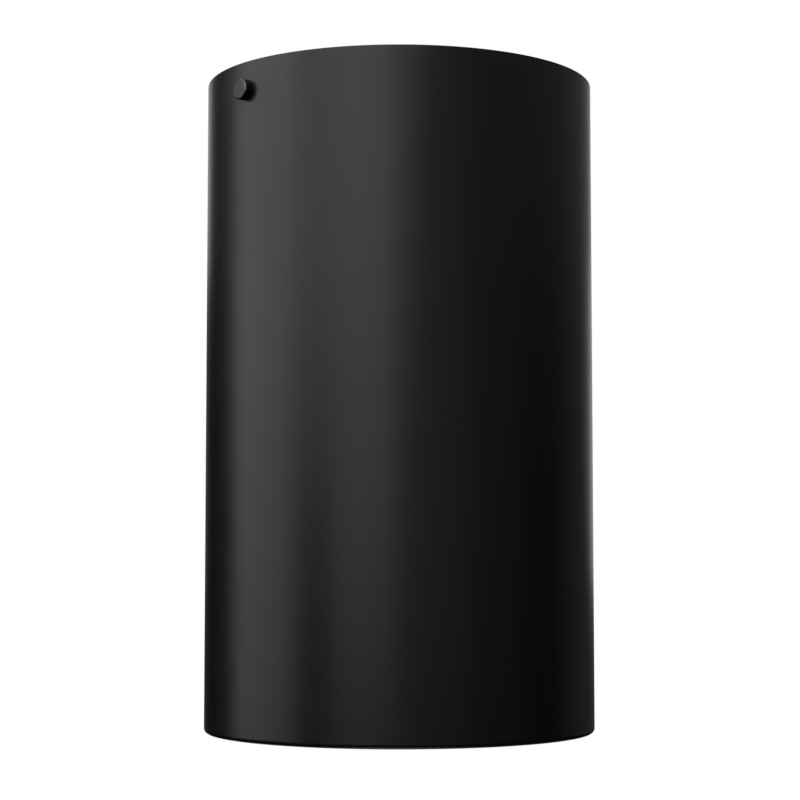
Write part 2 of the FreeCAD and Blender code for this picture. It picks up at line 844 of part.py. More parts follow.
def make_earth_screw():
    x = earth_centre.x
    y = earth_centre.y
    washer_top = pad_under_z - lug_sheet
    head_top = washer_top - earth_washer_height
    stem = upright(earth_screw_radius, -pan_pad_depth + pan_sheet, head_top, x, y)
    washer = upright(earth_washer_radius, washer_top, head_top, x, y)
    head = upright(earth_head_radius, head_top, head_top - earth_head_height, x, y)
    head = head.makeFillet(earth_head_height / 2, level_edges(head, head_top - earth_head_height))
    return stem.fuse(washer).fuse(head)


def make_lamp_cap():
    crown_z = lamp_top_z - lamp_crown_height
    return turned(
        (lamp_crown_radius - lamp_cap_sheet, crown_z),
        (lamp_crown_radius, crown_z),
        (lamp_cap_radius, crown_z - lamp_cap_radius + lamp_crown_radius),
        (lamp_cap_radius, lamp_cap_end_z),
        (lamp_cap_radius - lamp_cap_sheet, lamp_cap_end_z),
        (lamp_cap_radius - lamp_cap_sheet, crown_z - lamp_cap_radius + lamp_crown_radius - lamp_cap_sheet),
        (lamp_crown_radius - lamp_cap_sheet, crown_z - lamp_cap_sheet),
    )


def make_lamp_insulator():
    """The dark glass cone between the cap's shell and its tip."""
    crown_z = lamp_top_z - lamp_crown_height
    tip_z = lamp_top_z - lamp_tip_height
    return turned(
        (0, tip_z),
        (lamp_tip_seat_radius, tip_z),
        (lamp_crown_radius - lamp_cap_sheet - seat_gap, crown_z),
        (lamp_crown_radius - lamp_cap_sheet - seat_gap, crown_z - lamp_cap_sheet),
        (0, crown_z - lamp_cap_sheet),
    )


def make_lamp_contact():
    tip = upright(lamp_tip_radius, lamp_top_z, lamp_top_z - lamp_tip_height)
    return tip.makeFillet(lamp_tip_height / 2, level_edges(tip, lamp_top_z))


def housing_curve(inset):
    """Half outline of the lamp's housing, from its neck to a joint that runs on into the globe."""
    top = Vector(lamp_neck_radius - inset, 0, lamp_cap_end_z - seat_gap)
    bottom = Vector(lamp_join_radius - inset, 0, lamp_join_z)
    lean = lamp_globe_centre_drop / lamp_join_radius
    neck_pole = top - Vector(0, 0, lamp_housing_length * neck_pole_share)
    rise = lamp_housing_length * flare_pole_share
    flare_pole = bottom + Vector(-rise * lean, 0, rise)
    curve = Part.BezierCurve()
    curve.setPoles([top, neck_pole, flare_pole, bottom])
    return curve.toShape()


def make_lamp_housing():
    """A turned shell whose neck is fixed inside the cap."""
    plug_radius = lamp_cap_radius - lamp_cap_sheet - pin_gap
    plug_top = lamp_cap_end_z + lamp_neck_in_cap
    outer = housing_curve(0.0)
    inner = housing_curve(lamp_housing_wall)
    ends = [curve.Vertexes for curve in (outer, inner)]
    corners = [
        ends[1][0].Point,
        Vector(plug_radius - lamp_housing_wall, 0, ends[1][0].Z),
        Vector(plug_radius - lamp_housing_wall, 0, plug_top),
        Vector(plug_radius, 0, plug_top),
        Vector(plug_radius, 0, ends[0][0].Z),
        ends[0][0].Point,
    ]
    edges = [Part.LineSegment(here, there).toShape() for here, there in zip(corners, corners[1:])]
    edges += [outer, Part.LineSegment(ends[0][1].Point, ends[1][1].Point).toShape(), inner]
    face = Part.Face(Part.Wire(Part.__sortEdges__(edges)))
    return face.revolve(Vector(0, 0, 0), Vector(0, 0, 1), full_turn)


def make_lamp_globe():
    """An opal dome, part of a sphere, that fits on the housing's edge."""
    centre_z = lamp_join_z - lamp_globe_centre_drop
    top = lamp_join_z - seat_gap
    outer_radius = lamp_globe_radius
    inner_radius = outer_radius - lamp_globe_wall
    outer_join = math.sqrt(outer_radius**2 - (top - centre_z) ** 2)
    inner_join = math.sqrt(inner_radius**2 - (top - centre_z) ** 2)
    outer_middle = (outer_radius * bulge_share, centre_z - outer_radius * bulge_share)
    inner_middle = (inner_radius * bulge_share, centre_z - inner_radius * bulge_share)
    return turned(
        (outer_join, top),
        (outer_middle, (0, centre_z - outer_radius)),
        (0, centre_z - inner_radius),
        (inner_middle, (inner_join, top)),
    )


live_points = holder_lead_points(0, live_first_run, -1)
neutral_points = holder_lead_points(1, neutral_first_run, 1)
earth_points = earth_lead_points()

nodes = {
    "outer_shade": [make_outer_shade()],
    "clinch_nuts": [make_clinch_nut(-1), make_clinch_nut(1)],
    "thumbscrew_left": [make_thumbscrew(-1)],
    "thumbscrew_right": [make_thumbscrew(1)],
    "ceiling_pan": [make_ceiling_pan()],
    "supply_grommet": [make_supply_grommet()],
    "lampholder_strap": [make_lampholder_strap()],
    "strap_rivets": [make_strap_rivet(-1), make_strap_rivet(1)],
    "lampholder_nipple": [make_nipple()],
    "nipple_lock_nut": [make_lock_nut()],
    "lampholder_cap": [make_holder_cap()],
    "lampholder_skirt": [make_holder_skirt()],
    "lampholder_insert": [make_holder_insert()],
    "lampholder_screw_shell": [make_screw_shell()],
    "centre_contact": [make_centre_contact()],
    "side_contact": [make_side_contact()],
    "contact_rivets": [make_contact_rivet(-1), make_contact_rivet(1)],
    "terminal_block": [make_terminal_block()],
    "terminal_sleeves": [make_terminal_sleeve(index) for index in range(pole_count)],
    "terminal_clamp_screws": [make_clamp_screw(x, y) for x, y in tower_places()],
    "terminal_fixing_screw": [make_fixing_screw()],
    "live_lead": [make_lead("live lead", live_points)],
    "neutral_lead": [make_lead("neutral lead", neutral_points)],
    "earth_lead": [make_lead("earth lead", earth_points)],
    "conductor_ends": make_conductor_ends(live_points, neutral_points, earth_points),
    "earth_lug": [make_earth_lug()],
    "earth_screw": [make_earth_screw()],
    "lamp_globe": [make_lamp_globe()],
    "lamp_housing": [make_lamp_housing()],
    "lamp_screw_cap": [make_lamp_cap()],
    "lamp_cap_insulator": [make_lamp_insulator()],
    "lamp_contact": [make_lamp_contact()],
}

os.makedirs("parts", exist_ok=True)
for name, solids in nodes.items():
    shape = solids[0] if len(solids) == 1 else Part.makeCompound(solids)
    shape.exportStep("parts/%s.step" % name)
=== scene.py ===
import json
import math

import bmesh
import bpy
from mathutils import Matrix, Vector

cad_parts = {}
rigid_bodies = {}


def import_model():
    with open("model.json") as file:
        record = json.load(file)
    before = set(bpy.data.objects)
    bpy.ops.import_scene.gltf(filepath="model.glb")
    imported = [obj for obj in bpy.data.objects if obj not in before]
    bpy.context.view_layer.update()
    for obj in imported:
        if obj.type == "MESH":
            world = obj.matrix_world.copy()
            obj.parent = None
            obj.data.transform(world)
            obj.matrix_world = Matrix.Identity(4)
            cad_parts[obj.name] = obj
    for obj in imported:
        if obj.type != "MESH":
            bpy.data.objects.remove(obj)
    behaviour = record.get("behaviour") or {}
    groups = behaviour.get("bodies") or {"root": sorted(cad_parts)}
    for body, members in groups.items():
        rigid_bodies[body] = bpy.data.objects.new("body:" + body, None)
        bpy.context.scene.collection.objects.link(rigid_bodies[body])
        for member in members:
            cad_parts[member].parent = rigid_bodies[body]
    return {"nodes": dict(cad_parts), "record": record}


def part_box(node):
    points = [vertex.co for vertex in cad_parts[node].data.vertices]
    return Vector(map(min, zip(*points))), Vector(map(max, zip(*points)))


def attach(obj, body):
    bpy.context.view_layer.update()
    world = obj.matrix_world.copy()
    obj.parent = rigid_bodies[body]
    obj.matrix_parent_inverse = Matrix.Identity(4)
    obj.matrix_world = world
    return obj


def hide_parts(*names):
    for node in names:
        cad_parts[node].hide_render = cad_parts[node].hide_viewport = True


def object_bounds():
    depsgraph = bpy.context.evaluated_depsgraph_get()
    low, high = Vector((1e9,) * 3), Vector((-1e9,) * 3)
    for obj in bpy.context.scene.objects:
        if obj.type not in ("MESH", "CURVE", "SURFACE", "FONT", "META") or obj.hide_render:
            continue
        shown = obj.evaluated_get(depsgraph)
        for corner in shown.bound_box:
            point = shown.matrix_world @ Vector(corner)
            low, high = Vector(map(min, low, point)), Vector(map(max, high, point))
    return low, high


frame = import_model()
cad_low, cad_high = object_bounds()

# A ceiling cylinder light. Lengths are in metres, and a size in millimetres is written times MM.
# Z is zero at the ceiling, the light hangs below it, and its two thumbscrews point along X.

MM = 0.001
FULL_TURN = 2 * math.pi
nodes = frame["nodes"]
slots = {part["node"]: part["material_slot"] for part in frame["record"]["subparts"]}


def box_of(node):
    low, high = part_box(node)
    return Vector(low), Vector(high)


def body_of(node):
    return nodes[node].parent.name.split(":")[1]


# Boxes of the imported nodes, so that each turned piece fits the one that it stands for

shade_low, shade_high = box_of("outer_shade")
left_low, left_high = box_of("thumbscrew_left")
nipple_low, nipple_high = box_of("lampholder_nipple")
skirt_low, skirt_high = box_of("lampholder_skirt")
shell_low, shell_high = box_of("lampholder_screw_shell")
cap_low, cap_high = box_of("lamp_screw_cap")
housing_low, housing_high = box_of("lamp_housing")
globe_high = box_of("lamp_globe")[1]
earth_low, earth_high = box_of("earth_screw")

# Sizes of the real pieces. The shade's lower edge is rounded a little more than the solid's, which widens
# the dark line along it.

SHADE_WALL = 2.0 * MM
SHADE_LOWER_ROUND = 1.4 * MM
SHADE_LOWER_INNER_ROUND = 0.4 * MM
SHADE_TOP_ROUND = 0.25 * MM
SHADE_TOP_INNER_ROUND = 0.15 * MM
CLINCH_HOLE_RADIUS = 2.12 * MM

SCREW_HEAD_HEIGHT = 2.4 * MM
SCREW_HEAD_BEVEL = 0.35 * MM
# The band at the head's top that takes the paler worn finish, which is also a painted highlight
SCREW_HEAD_WEAR_AND_HIGHLIGHT = 1.2 * SCREW_HEAD_BEVEL
SCREW_EDGE_ROUND = 0.06 * MM
SCREW_STEM_RADIUS = 1.5 * MM
SCREW_TIP_CHAMFER = 0.3 * MM
SCREW_PITCH = 0.5 * MM
SCREW_THREAD_DEPTH = 0.27 * MM

NIPPLE_BORE_RADIUS = 3.6 * MM
NIPPLE_PITCH = 1.0 * MM
NIPPLE_THREAD_DEPTH = 0.5 * MM

LAMP_PITCH = 3.628 * MM
LAMP_THREAD_DEPTH = 0.75 * MM
LAMP_CAP_SHEET = 0.25 * MM
LAMP_CROWN_RADIUS = 10.5 * MM
LAMP_SHOULDER_ROUND = 0.8 * MM
LAMP_SHOULDER_INNER_ROUND = 0.6 * MM
LAMP_PLAIN_FOOT = 3.2 * MM
LAMP_PLAIN_SHOULDER = 0.8 * MM

SHELL_THREAD_DEPTH = 0.28 * MM
SHELL_SHEET = 0.4 * MM
SHELL_INNER_RADIUS = 13.45 * MM
SHELL_LIP_ROUND = 0.3 * MM
SHELL_PLAIN_FOOT = 0.6 * MM
SHELL_PLAIN_TOP = 4.5 * MM

COLLAR_RADIUS = 17.95 * MM
COLLAR_WALL = 1.6 * MM
COLLAR_HEIGHT = 6.05 * MM
COLLAR_ROUND = 0.3 * MM
COLLAR_INNER_ROUND = 0.2 * MM
GRIP_HEIGHT = 3.35 * MM
GRIP_TOP_ROUND = 0.3 * MM
GRIP_LOWER_ROUND = 0.4 * MM
GRIP_FLUTES = 48
GRIP_DEPTH = 0.5 * MM
TAPER_HEIGHT = 9.0 * MM
TAPER_FOOT_ROUND = 1.5 * MM
TAPER_LEVELS = 8
SLEEVE_BORE_RADIUS = 14.05 * MM
SLEEVE_WALL = 3.0 * MM
SLEEVE_END_ROUND = 0.8 * MM
SLEEVE_BORE_ROUND = 0.4 * MM

HOUSING_NECK_RADIUS = 14.2 * MM
HOUSING_NECK_GAP = 0.05 * MM
HOUSING_PLUG_RADIUS = 12.0 * MM
HOUSING_PLUG_ROUND = 0.3 * MM
HOUSING_WALL = 1.6 * MM
HOUSING_RINGS = 32
HOUSING_NECK_SHARE = 0.42
HOUSING_FLARE_SHARE = 0.45
HOUSING_JOIN_SHARE = 0.9633
SNAP_STEP_DEPTH = 0.3 * MM
SNAP_STEP_HEIGHT = 0.9 * MM
SNAP_STEP_EDGE = 1.0 * MM

EARTH_HEAD_RADIUS = 3.6 * MM
EARTH_HEAD_HEIGHT = 2.4 * MM
EARTH_HEAD_ROUND = 1.2 * MM
EARTH_WASHER_SHEET = 0.8 * MM
EARTH_WASHER_TOP_ROUND = 0.08 * MM
EARTH_WASHER_ROUND = 0.15 * MM
EARTH_STEM_RADIUS = 2.0 * MM
EARTH_STEM_ROUND = 0.3 * MM
RECESS_LENGTH = 4.4 * MM
RECESS_WIDTH = 1.0 * MM
RECESS_HEIGHT = 3.2 * MM
RECESS_DEEP_SHARE = 0.55


# Colours and shader nodes. A noise node's values lie mostly between NOISE_LOW and NOISE_HIGH.

NOISE_LOW = 0.3
NOISE_HIGH = 0.7


def linear(hex_colour):
    """An sRGB hex colour as the linear RGBA that shaders want."""
    channels = [int(hex_colour[i:i + 2], 16) / 255 for i in (1, 3, 5)]
    return tuple(c / 12.92 if c <= 0.04045 else ((c + 0.055) / 1.055) ** 2.4 for c in channels) + (1.0,)


WHITE = linear("#FFFFFF")


def add(tree, kind, settings=None, links=None):
    """Adds a shader node. Each link is an input's name or number with a socket to join or a value to set."""
    made = tree.nodes.new(kind)
    for name, value in (settings or {}).items():
        setattr(made, name, value)
    for name, value in (links or {}).items():
        if isinstance(value, bpy.types.NodeSocket):
            tree.links.new(value, made.inputs[name])
        else:
            made.inputs[name].default_value = value
    return made


def empty_finish(name):
    """A material with nothing in it yet, and its node tree."""
    material = bpy.data.materials.new(name)
    material.use_nodes = True
    material.node_tree.nodes.clear()
    return material, material.node_tree


def satin_powder_coat():
    """Polyester powder sprayed on aluminium and baked. It flows into a faint orange peel, so the edges of
    its reflections waver a little, and its flatting grit spreads them into a satin sheen."""
    material, tree = empty_finish("satin_black_powder_coat")
    place = add(tree, "ShaderNodeTexCoord").outputs["Object"]
    # The peel's waves are about 1.8 mm across and a few thousandths deep
    peel = add(tree, "ShaderNodeTexNoise", {}, {"Vector": place, "Scale": 1 / (1.8 * MM), "Detail": 2.0})
    bump = add(tree, "ShaderNodeBump", {}, {
        "Height": peel.outputs["Fac"], "Distance": 0.004 * MM, "Strength": 1.0,
    })
    # Where the powder lies thicker, some 30 mm across, it is a little glossier
    cloud = add(tree, "ShaderNodeTexNoise", {}, {"Vector": place, "Scale": 1 / (30 * MM), "Detail": 2.0})
    gloss = add(tree, "ShaderNodeMapRange", {}, {
        "Value": cloud.outputs["Fac"], "From Min": NOISE_LOW, "From Max": NOISE_HIGH,
        "To Min": 0.295, "To Max": 0.325,
    })
    # Flatting grit is some 0.05 mm wide and is drawn at 0.3 mm, so that it shows in a near view
    grit = add(tree, "ShaderNodeTexNoise", {}, {"Vector": place, "Scale": 1 / (0.3 * MM), "Detail": 1.0})
    tone = add(tree, "ShaderNodeMix", {"data_type": "RGBA"}, {
        "Factor": grit.outputs["Fac"], "A": linear("#060606"), "B": linear("#0A0A0A"),
    })
    shader = add(tree, "ShaderNodeBsdfPrincipled", {}, {
        "Base Color": tone.outputs["Result"],
        "Roughness": gloss.outputs["Result"],
        "IOR": 1.5,
        "Normal": bump.outputs["Normal"],
    })
    add(tree, "ShaderNodeOutputMaterial", {}, {"Surface": shader.outputs["BSDF"]})
    return material


def black_oxide_steel(name, oily, dry):
    """Turned steel blackened in a hot salt bath and oiled: still a metal, dark, with a soft oily sheen that
    is a little browner where the oil has gathered."""
    material, tree = empty_finish(name)
    place = add(tree, "ShaderNodeTexCoord").outputs["Object"]
    # Tool marks of the turned face are some 0.1 mm apart and are drawn at 0.25 mm
    marks = add(tree, "ShaderNodeTexNoise", {}, {"Vector": place, "Scale": 1 / (0.25 * MM), "Detail": 2.0})
    bump = add(tree, "ShaderNodeBump", {}, {
        "Height": marks.outputs["Fac"], "Distance": 0.002 * MM, "Strength": 1.0,
    })
    oil = add(tree, "ShaderNodeTexNoise", {}, {"Vector": place, "Scale": 1 / (2.5 * MM), "Detail": 2.0})
    tone = add(tree, "ShaderNodeMix", {"data_type": "RGBA"}, {
        "Factor": oil.outputs["Fac"], "A": linear(dry), "B": linear(oily),
    })
    gloss = add(tree, "ShaderNodeMapRange", {}, {
        "Value": oil.outputs["Fac"], "From Min": NOISE_LOW, "From Max": NOISE_HIGH,
        "To Min": 0.3, "To Max": 0.38,
    })
    shader = add(tree, "ShaderNodeBsdfPrincipled", {}, {
        "Base Color": tone.outputs["Result"],
        "Metallic": 1.0,
        "Roughness": gloss.outputs["Result"],
        "Normal": bump.outputs["Normal"],
    })
    add(tree, "ShaderNodeOutputMaterial", {}, {"Surface": shader.outputs["BSDF"]})
    return material


def bright_zinc_plate():
    """Rolled or turned steel, zinc plated and blue passivated: pale bluish metal. The sheet's rolling lines
    draw its reflections out one way, and the bath leaves it cloudy in patches of about a centimetre."""
    material, tree = empty_finish("bright_zinc_plated_steel")
    place = add(tree, "ShaderNodeTexCoord").outputs["Object"]
    cloud = add(tree, "ShaderNodeTexNoise", {}, {"Vector": place, "Scale": 1 / (9 * MM), "Detail": 3.0})
    tone = add(tree, "ShaderNodeMix", {"data_type": "RGBA"}, {
        "Factor": cloud.outputs["Fac"], "A": linear("#A8AEB5"), "B": linear("#BEBDB8"),
    })
    # Rolling lines are some 0.1 mm apart and are drawn at 0.4 mm, twenty times as long along X
    along = add(tree, "ShaderNodeMapping", {"vector_type": "TEXTURE"}, {
        "Vector": place, "Scale": (20.0, 1.0, 1.0),
    })
    lines = add(tree, "ShaderNodeTexNoise", {}, {
        "Vector": along.outputs["Vector"], "Scale": 1 / (0.4 * MM), "Detail": 2.0,
    })
    gloss = add(tree, "ShaderNodeMapRange", {}, {
        "Value": lines.outputs["Fac"], "From Min": NOISE_LOW, "From Max": NOISE_HIGH,
        "To Min": 0.24, "To Max": 0.38,
    })
    bump = add(tree, "ShaderNodeBump", {}, {
        "Height": lines.outputs["Fac"], "Distance": 0.004 * MM, "Strength": 1.0,
    })
    shader = add(tree, "ShaderNodeBsdfPrincipled", {}, {
        "Base Color": tone.outputs["Result"],
        "Metallic": 1.0,
        "Roughness": gloss.outputs["Result"],
        "Normal": bump.outputs["Normal"],
    })
    add(tree, "ShaderNodeOutputMaterial", {}, {"Surface": shader.outputs["BSDF"]})
    return material


def handled_metal(name, bright, dull, roughness, patch):
    """A small pressed or drawn metal part. It dulls in patches where it was handled, and its gloss goes
    with them."""
    material, tree = empty_finish(name)
    place = add(tree, "ShaderNodeTexCoord").outputs["Object"]
    wear = add(tree, "ShaderNodeTexNoise", {}, {"Vector": place, "Scale": 1 / patch, "Detail": 4.0})
    share = add(tree, "ShaderNodeMapRange", {}, {
        "Value": wear.outputs["Fac"], "From Min": 0.35, "From Max": 0.65,
    })
    tone = add(tree, "ShaderNodeMix", {"data_type": "RGBA"}, {
        "Factor": share.outputs["Result"], "A": linear(bright), "B": linear(dull),
    })
    gloss = add(tree, "ShaderNodeMapRange", {}, {
        "Value": wear.outputs["Fac"], "From Min": NOISE_LOW, "From Max": NOISE_HIGH,
        "To Min": roughness * 0.8, "To Max": roughness * 1.3,
    })
    # Fine drawing marks, real ones some 0.05 mm wide, are drawn at 0.3 mm
    marks = add(tree, "ShaderNodeTexNoise", {}, {"Vector": place, "Scale": 1 / (0.3 * MM), "Detail": 2.0})
    bump = add(tree, "ShaderNodeBump", {}, {
        "Height": marks.outputs["Fac"], "Distance": 0.002 * MM, "Strength": 1.0,
    })
    shader = add(tree, "ShaderNodeBsdfPrincipled", {}, {
        "Base Color": tone.outputs["Result"],
        "Metallic": 1.0,
        "Roughness": gloss.outputs["Result"],
        "Normal": bump.outputs["Normal"],
    })
    add(tree, "ShaderNodeOutputMaterial", {}, {"Surface": shader.outputs["BSDF"]})
    return material


def moulded(name, pale, deep, roughness, grit, depth, milky=0.0):
    """A part from a mould or a die. It has the tool's fine skin, and flow marks some 12 mm across turn its
    colour and gloss a little. Milky plastics let light in and look soft at their edges."""
    material, tree = empty_finish(name)
    place = add(tree, "ShaderNodeTexCoord").outputs["Object"]
    flow = add(tree, "ShaderNodeTexNoise", {}, {"Vector": place, "Scale": 1 / (12 * MM), "Detail": 3.0})
    tone = add(tree, "ShaderNodeMix", {"data_type": "RGBA"}, {
        "Factor": flow.outputs["Fac"], "A": linear(pale), "B": linear(deep),
    })
    gloss = add(tree, "ShaderNodeMapRange", {}, {
        "Value": flow.outputs["Fac"], "From Min": NOISE_LOW, "From Max": NOISE_HIGH,
        "To Min": roughness * 0.9, "To Max": roughness * 1.12,
    })
    # Most skins are grained more finely than 0.1 mm and are drawn at the size given, so that they show
    skin = add(tree, "ShaderNodeTexNoise", {}, {"Vector": place, "Scale": 1 / grit, "Detail": 3.0})
    bump = add(tree, "ShaderNodeBump", {}, {
        "Height": skin.outputs["Fac"], "Distance": depth, "Strength": 1.0,
    })
    shader = add(tree, "ShaderNodeBsdfPrincipled", {}, {
        "Base Color": tone.outputs["Result"],
        "Roughness": gloss.outputs["Result"],
        "IOR": 1.5,
        "Subsurface Weight": milky,
        "Subsurface Scale": 1.5 * MM,
        "Normal": bump.outputs["Normal"],
    })
    add(tree, "ShaderNodeOutputMaterial", {}, {"Surface": shader.outputs["BSDF"]})
    return material


def striped_insulation():
    """Extruded green PVC with a yellow stripe laid in it. The lead is twisted, so the stripe winds round it
    slantwise, and the skin has a soft plastic gloss."""
    material, tree = empty_finish("green_insulation_with_yellow_stripe")
    place = add(tree, "ShaderNodeTexCoord").outputs["Object"]
    # One stripe in each 2.6 mm across the lead, slanting along the two ways that it runs. At a scale of 1 a
    # wave node runs through 20 radians in a metre.
    slant = add(tree, "ShaderNodeMapping", {"vector_type": "POINT"}, {
        "Vector": place, "Rotation": (0.5, 0.35, 0.0),
    })
    wave = add(tree, "ShaderNodeTexWave", {"wave_type": "BANDS", "bands_direction": "X"}, {
        "Vector": slant.outputs["Vector"], "Scale": FULL_TURN / (20 * 2.6 * MM),
    })
    stripe = add(tree, "ShaderNodeMapRange", {}, {
        "Value": wave.outputs["Fac"], "From Min": 0.55, "From Max": 0.62,
    })
    tone = add(tree, "ShaderNodeMix", {"data_type": "RGBA"}, {
        "Factor": stripe.outputs["Result"], "A": linear("#2F7A2B"), "B": linear("#E0C723"),
    })
    # The extruded skin is grained more finely than 0.1 mm and is drawn at 0.4 mm
    skin = add(tree, "ShaderNodeTexNoise", {}, {"Vector": place, "Scale": 1 / (0.4 * MM), "Detail": 2.0})
    bump = add(tree, "ShaderNodeBump", {}, {
        "Height": skin.outputs["Fac"], "Distance": 0.004 * MM, "Strength": 1.0,
    })
    shader = add(tree, "ShaderNodeBsdfPrincipled", {}, {
        "Base Color": tone.outputs["Result"],
        "Roughness": 0.42,
        "IOR": 1.53,
        "Normal": bump.outputs["Normal"],
    })
    add(tree, "ShaderNodeOutputMaterial", {}, {"Surface": shader.outputs["BSDF"]})
    return material


finishes = {
    "black_powder_coat": satin_powder_coat(),
    "blackened_steel": black_oxide_steel("black_oxide_turned_steel", "#464543", "#404143"),
    "zinc_plated_steel": bright_zinc_plate(),
    # Contacts are rolled brass, bright where they were sheared and browner between
    "brass": handled_metal("rolled_brass", "#DDB968", "#B98E48", 0.26, 5 * MM),
    # Bare strands, salmon where fresh and darker where fingers touched them
    "bare_copper": handled_metal("drawn_copper_wire", "#DE9A78", "#B46F4C", 0.3, 1.2 * MM),
    # The lug is tinned, so it is a soft grey metal with a dull bloom
    "tinned_copper": handled_metal("tin_dipped_copper", "#CBCAC4", "#ABAAA3", 0.34, 2.5 * MM),
    # The lamp's cap is thin rolled brass with nickel on it, a warm bright grey
    "nickel_plated_brass": handled_metal("nickel_plated_rolled_brass", "#D2CDC2", "#BCB6A8", 0.22, 6 * MM),
    # Pressed rubber has a dead matte skin with a pale bloom
    "black_rubber": moulded("pressed_black_rubber", "#191919", "#222221", 0.66, 0.4 * MM, 0.02 * MM),
    # Compression-moulded thermoset is hard and glossy, with its filler showing as faint cloud
    "black_moulding": moulded("glossy_black_thermoset", "#121213", "#1A1919", 0.27, 0.6 * MM, 0.004 * MM),
    # Unglazed steatite is fired off-white and granular, and does not shine
    "steatite": moulded("unglazed_fired_steatite", "#E2DCCD", "#D3CBB9", 0.72, 0.25 * MM, 0.02 * MM),
    # Undyed polyamide is milky and slightly yellow
    "white_polyamide": moulded("undyed_polyamide", "#E9E6D9", "#DFDBCB", 0.42, 0.5 * MM, 0.006 * MM, 0.15),
    # Extruded PVC takes a soft gloss from the die
    "brown_insulation": moulded("brown_extruded_pvc", "#5E3722", "#52301D", 0.4, 0.4 * MM, 0.004 * MM),
    "blue_insulation": moulded("blue_extruded_pvc", "#2F66B2", "#285A9E", 0.4, 0.4 * MM, 0.004 * MM),
    "green_yellow_insulation": striped_insulation(),
    # Opal polycarbonate scatters light inside, so the globe looks soft and even
    "opal_diffuser": moulded("opal_polycarbonate", "#F4F3EF", "#EFEEE9", 0.34, 0.5 * MM, 0.003 * MM, 0.3),
    # White polycarbonate is dyed through and takes the mould's polish
    "white_moulding": moulded("white_polycarbonate", "#ECEBE6", "#E5E4DE", 0.28, 0.5 * MM, 0.004 * MM, 0.05),
    # Fused glass is nearly black and mirror smooth, with a slow ripple
    "black_glass": moulded("fused_black_glass", "#0E0D10", "#141216", 0.08, 3 * MM, 0.02 * MM),
}


# Fingers wear the black off the chamfer of a thumbscrew's head, and this paler finish there is also a
# painted highlight along the chamfer
chamfer_wear_and_painted_highlight = black_oxide_steel("black_oxide_worn_at_the_edge", "#65635F", "#5D5E60")


# Turned pieces. A skin's points are merged where they lie closer than MERGE_GAP, and two lengths that
# differ by less than CLOSE count as the same. A face is flat where its normal's Z is above FLAT_FACE, and an
# edge looks sharp where its faces turn by more than SHARP_TURN.

CLOSE = 0.002 * MM
MERGE_GAP = CLOSE / 4
FLAT_FACE = 0.98
SHARP_TURN = math.radians(32)
ROUNDING_FACETS = 8
SHADE_STEPS = 384
HOUSING_STEPS = 192
LAMP_THREAD_STEPS = 144
SMALL_STEPS = 96
STEPS_A_FLUTE = 8
RINGS_A_PITCH = 8
RINGS_A_ROLLED_PITCH = 16


def corner_at(shape, x, z):
    return min(shape.verts, key=lambda vert: (vert.co - Vector((x, 0, z))).length)


def outline(points, closed=True):
    """A half section in the XZ plane. A point is a radius, a height and, where it is rounded, the distance
    from the corner at which the rounding starts."""
    shape = bmesh.new()
    corners = [shape.verts.new((point[0], 0, point[1])) for point in points]
    ends = corners[1:] + corners[:1] if closed else corners[1:]
    for here, there in zip(corners, ends):
        shape.edges.new((here, there))
    for point in points:
        if len(point) > 2:
            corner = corner_at(shape, point[0], point[1])
            bmesh.ops.bevel(
                shape, geom=[corner] + list(corner.link_edges), offset=point[2], offset_type="OFFSET",
                segments=ROUNDING_FACETS, profile=0.5, affect="VERTICES", material=-1)
    return shape


def cut_level(shape, z):
    """Gives an outline new points at a height."""
    bmesh.ops.bisect_plane(
        shape, geom=list(shape.verts) + list(shape.edges), plane_no=(0, 0, 1), plane_co=(0, 0, z))


def add_rings(shape, radius, low, high, spacing):
    """Divides the outline's straight runs at one radius, so that a thread can be sunk there."""
    for edge in list(shape.edges):
        heights = sorted(vert.co.z for vert in edge.verts)
        upright = all(abs(vert.co.x - radius) < CLOSE for vert in edge.verts)
        if upright and heights[0] > low - CLOSE and heights[1] < high + CLOSE:
            cuts = max(1, round((heights[1] - heights[0]) / spacing))
            bmesh.ops.subdivide_edges(shape, edges=[edge], cuts=cuts)


def turn_round(shape, steps):
    """Spins an outline into a closed skin round Z."""
    bmesh.ops.spin(
        shape, geom=list(shape.verts) + list(shape.edges), cent=(0, 0, 0), axis=(0, 0, 1),
        angle=FULL_TURN, steps=steps, use_merge=True)
    bmesh.ops.remove_doubles(shape, verts=shape.verts, dist=MERGE_GAP)
    bmesh.ops.recalc_face_normals(shape, faces=shape.faces)
    return shape


def sink_thread(shape, radius, low, high, pitch, depth, rolled):
    """Sinks a right-hand thread into the wall at one radius. It fades out over a pitch at each end, and is
    wavy where it is rolled in sheet and V-shaped where it is cut."""
    for vert in shape.verts:
        reach = math.hypot(vert.co.x, vert.co.y)
        if abs(reach - radius) > CLOSE or not low < vert.co.z < high:
            continue
        turned = math.atan2(vert.co.y, vert.co.x) / FULL_TURN
        phase = (vert.co.z / pitch - turned) % 1.0
        groove = 0.5 - 0.5 * math.cos(FULL_TURN * phase) if rolled else 1 - abs(2 * phase - 1)
        fade = min(1.0, (vert.co.z - low) / pitch, (high - vert.co.z) / pitch)
        share = 1 - depth * groove * fade / reach
        vert.co.x *= share
        vert.co.y *= share


def carved(shape, cutters):
    """Cuts tools out of a skin, and gives back the cut skin."""
    rough = []
    for solid in (shape, *cutters):
        mesh = bpy.data.meshes.new("rough")
        solid.to_mesh(mesh)
        solid.free()
        rough.append(bpy.data.objects.new("rough", mesh))
        bpy.context.scene.collection.objects.link(rough[-1])
    for tool in rough[1:]:
        cut = rough[0].modifiers.new("cut", "BOOLEAN")
        cut.operation = "DIFFERENCE"
        cut.solver = "EXACT"
        cut.object = tool
    finished = rough[0].evaluated_get(bpy.context.evaluated_depsgraph_get())
    result = bmesh.new()
    result.from_mesh(finished.to_mesh())
    for rough_object in rough:
        mesh = rough_object.data
        bpy.data.objects.remove(rough_object)
        bpy.data.meshes.remove(mesh)
    return result


